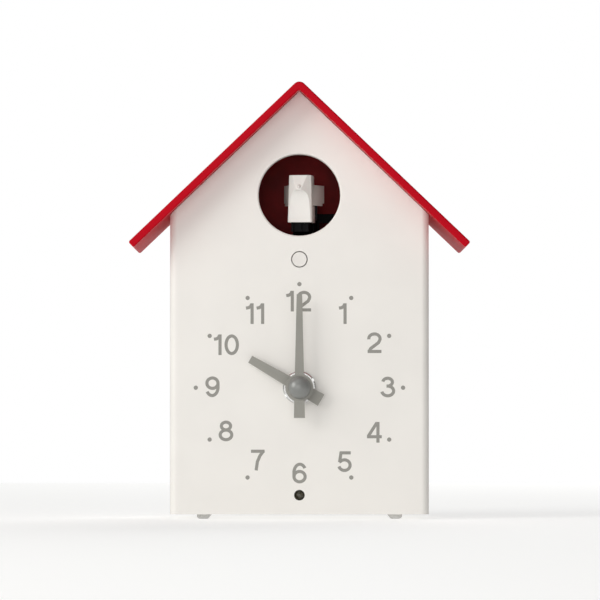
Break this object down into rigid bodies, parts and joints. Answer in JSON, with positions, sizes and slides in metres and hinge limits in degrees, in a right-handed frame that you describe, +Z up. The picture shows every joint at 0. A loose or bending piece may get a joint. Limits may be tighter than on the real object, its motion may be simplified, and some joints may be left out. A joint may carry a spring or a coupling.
{
  "type": "cuckoo clock",
  "caption": "House-shaped cuckoo clock with a red gable roof, a dial with hands, and a bird that slides out of a round doorway.",
  "frame": {"origin": "middle of the clock's outline at the level of the table under its feet", "axes": "+X to the right as seen from in front of the dial, +Y from the dial to the back cover, +Z up to the ridge"},
  "size_m": [0.15, 0.084, 0.192],
  "materials": {
    "case_white": "satin moulded plastic",
    "cover_white": "finely textured moulded plastic",
    "roof_red": "satin lacquered plastic",
    "foot_rubber": "translucent grey elastomer",
    "hand_grey": "satin warm grey paint",
    "cap_grey": "satin grey dome",
    "nut_chrome": "bright plated",
    "button_white": "satin moulded plastic",
    "switch_black": "moulded",
    "board_green": "solder-resist lacquer",
    "lens_smoked": "smoked polished lens",
    "sensor_tan": "ceramic and epoxy",
    "movement_black": "moulded",
    "movement_clear": "translucent moulded plastic",
    "brass": "turned",
    "gear_white": "acetal",
    "magnet_dark": "sintered ferrite",
    "steel": "zinc plated",
    "coil_copper": "enamelled copper wire",
    "chamber_red": "dark red moulded plastic",
    "bird_white": "smooth moulded plastic",
    "wing_white": "smooth moulded plastic",
    "carriage_black": "moulded, blue-black",
    "cone_paper": "coated paper",
    "cell_can": "plain printed sleeve over a metal can",
    "wire_cover": "soft insulation",
    "knob_white": "moulded"
  },
  "bodies": {
    "case": {"front_housing": "case_white", "roof_panel": "roof_red", "rear_cover": "cover_white", "foot_front_left": "foot_rubber", "foot_front_right": "foot_rubber", "foot_rear_left": "foot_rubber", "foot_rear_right": "foot_rubber", "case_screws": "steel", "roof_screws": "steel", "dial_nut": "nut_chrome", "switch_body": "switch_black", "switch_board": "board_green", "sensor_lens": "lens_smoked", "light_sensor": "sensor_tan", "sensor_board": "board_green", "movement_case_front": "movement_clear", "movement_case_rear": "movement_black", "stator": "steel", "middle_plate": "gear_white", "stator_coil": "coil_copper", "movement_board": "board_green", "bird_chamber": "chamber_red", "chamber_screws": "steel", "motor": "steel", "speaker_frame": "steel", "speaker_magnet": "magnet_dark", "speaker_cone": "cone_paper", "main_board": "board_green", "board_parts": "switch_black", "board_screws": "steel", "cells": "cell_can", "contact_springs": "steel", "contact_plates": "steel", "wire_harness": "wire_cover"},
    "minute_shaft": {"minute_arbor": "brass", "minute_hand": "hand_grey", "hand_cap": "cap_grey"},
    "hour_tube": {"hour_wheel": "gear_white", "hour_hand": "hand_grey"},
    "setting_shaft": {"minute_wheel": "gear_white", "time_set_knob": "knob_white"},
    "centre_wheel": {"centre_wheel": "gear_white"},
    "third_wheel": {"third_wheel": "gear_white"},
    "seconds_wheel": {"seconds_wheel": "gear_white"},
    "fifth_wheel": {"fifth_wheel": "gear_white"},
    "rotor": {"rotor": "magnet_dark"},
    "carriage": {"bird_carriage": "carriage_black", "bird_body": "bird_white", "wing_pins": "steel", "flap_solenoid": "movement_black"},
    "wing_left": {"wing_left": "wing_white"},
    "wing_right": {"wing_right": "wing_white"},
    "wing_rod": {"wing_rod": "carriage_black"},
    "drive_axle": {"drive_axle": "gear_white", "drive_gear": "gear_white"},
    "motor_shaft": {"motor_pinion": "brass"},
    "button": {"front_button": "button_white", "switch_plunger": "switch_black"},
    "volume": {"volume_knob": "knob_white"},
    "battery_door": {"battery_door": "cover_white"}
  },
  "joints": [
    {"name": "minute_hand_turn", "type": "hinge", "parent": "case", "child": "minute_shaft", "pos_m": [0, -0.02, 0.0579], "axis": [0, 1, 0], "continuous": true},
    {"name": "hour_hand_turn", "type": "hinge", "parent": "case", "child": "hour_tube", "pos_m": [0, -0.025, 0.0579], "axis": [0, 1, 0], "continuous": true},
    {"name": "setting_knob_turn", "type": "hinge", "parent": "case", "child": "setting_shaft", "pos_m": [0.01131, -0.02, 0.06921], "axis": [0, 1, 0], "continuous": true},
    {"name": "seconds_wheel_turn", "type": "hinge", "parent": "case", "child": "seconds_wheel", "pos_m": [-0.01306, -0.019, 0.04622], "axis": [0, 1, 0], "continuous": true},
    {"name": "third_wheel_turn", "type": "hinge", "parent": "case", "child": "third_wheel", "pos_m": [-0.01015, -0.019, 0.05421], "axis": [0, 1, 0], "continuous": true},
    {"name": "centre_wheel_turn", "type": "hinge", "parent": "case", "child": "centre_wheel", "pos_m": [0, -0.02, 0.0579], "axis": [0, 1, 0], "continuous": true},
    {"name": "fifth_wheel_turn", "type": "hinge", "parent": "case", "child": "fifth_wheel", "pos_m": [-0.00727, -0.019, 0.04411], "axis": [0, 1, 0], "continuous": true},
    {"name": "rotor_turn", "type": "hinge", "parent": "case", "child": "rotor", "pos_m": [-0.00163, -0.019, 0.04206], "axis": [0, 1, 0], "continuous": true},
    {"name": "bird_slide", "type": "slide", "parent": "case", "child": "carriage", "axis": [0, -1, 0], "range_m": [0, 0.018]},
    {"name": "drive_axle_turn", "type": "hinge", "parent": "case", "child": "drive_axle", "pos_m": [0, -0.004, 0.1139], "axis": [1, 0, 0], "range_deg": [-2, 210]},
    {"name": "motor_turn", "type": "hinge", "parent": "case", "child": "motor_shaft", "pos_m": [0.01, 0.00466, 0.1089], "axis": [1, 0, 0], "range_deg": [-625, 5]},
    {"name": "wing_rod_slide", "type": "slide", "parent": "carriage", "child": "wing_rod", "axis": [0.1392, 0.9903, 0], "range_m": [-0.0008, 0.0016]},
    {"name": "wing_left_flap", "type": "hinge", "parent": "carriage", "child": "wing_left", "pos_m": [-0.00359, -0.0204, 0.143], "axis": [0, 0, 1], "range_deg": [-13, 27]},
    {"name": "wing_right_flap", "type": "hinge", "parent": "carriage", "child": "wing_right", "pos_m": [0.00473, -0.02157, 0.143], "axis": [0, 0, 1], "range_deg": [-27, 13]},
    {"name": "button_press", "type": "slide", "parent": "case", "child": "button", "axis": [0, 1, 0], "range_m": [0, 0.0006], "stiffness_N_per_m": 500, "springref_m": -0.0003},
    {"name": "volume_turn", "type": "hinge", "parent": "case", "child": "volume", "pos_m": [0.034, 0.038, 0.1], "axis": [0, 1, 0], "range_deg": [-135, 135]},
    {"name": "battery_door_lift", "type": "slide", "parent": "case", "child": "battery_door", "axis": [0, 1, 0], "range_m": [0, 0.025]}
  ],
  "couplings": [
    {"joint": "hour_hand_turn", "follows": "minute_hand_turn", "ratio": 0.083333},
    {"joint": "setting_knob_turn", "follows": "minute_hand_turn", "ratio": -0.33333},
    {"joint": "third_wheel_turn", "follows": "seconds_wheel_turn", "ratio": -0.13333},
    {"joint": "centre_wheel_turn", "follows": "seconds_wheel_turn", "ratio": 0.016667},
    {"joint": "fifth_wheel_turn", "follows": "seconds_wheel_turn", "ratio": -6},
    {"joint": "rotor_turn", "follows": "seconds_wheel_turn", "ratio": 30},
    {"joint": "drive_axle_turn", "follows": "bird_slide", "rad_per_m": 200},
    {"joint": "motor_turn", "follows": "bird_slide", "rad_per_m": -600},
    {"joint": "wing_right_flap", "follows": "wing_left_flap", "ratio": -1},
    {"joint": "wing_rod_slide", "follows": "wing_left_flap", "m_per_rad": 0.00305}
  ]
}
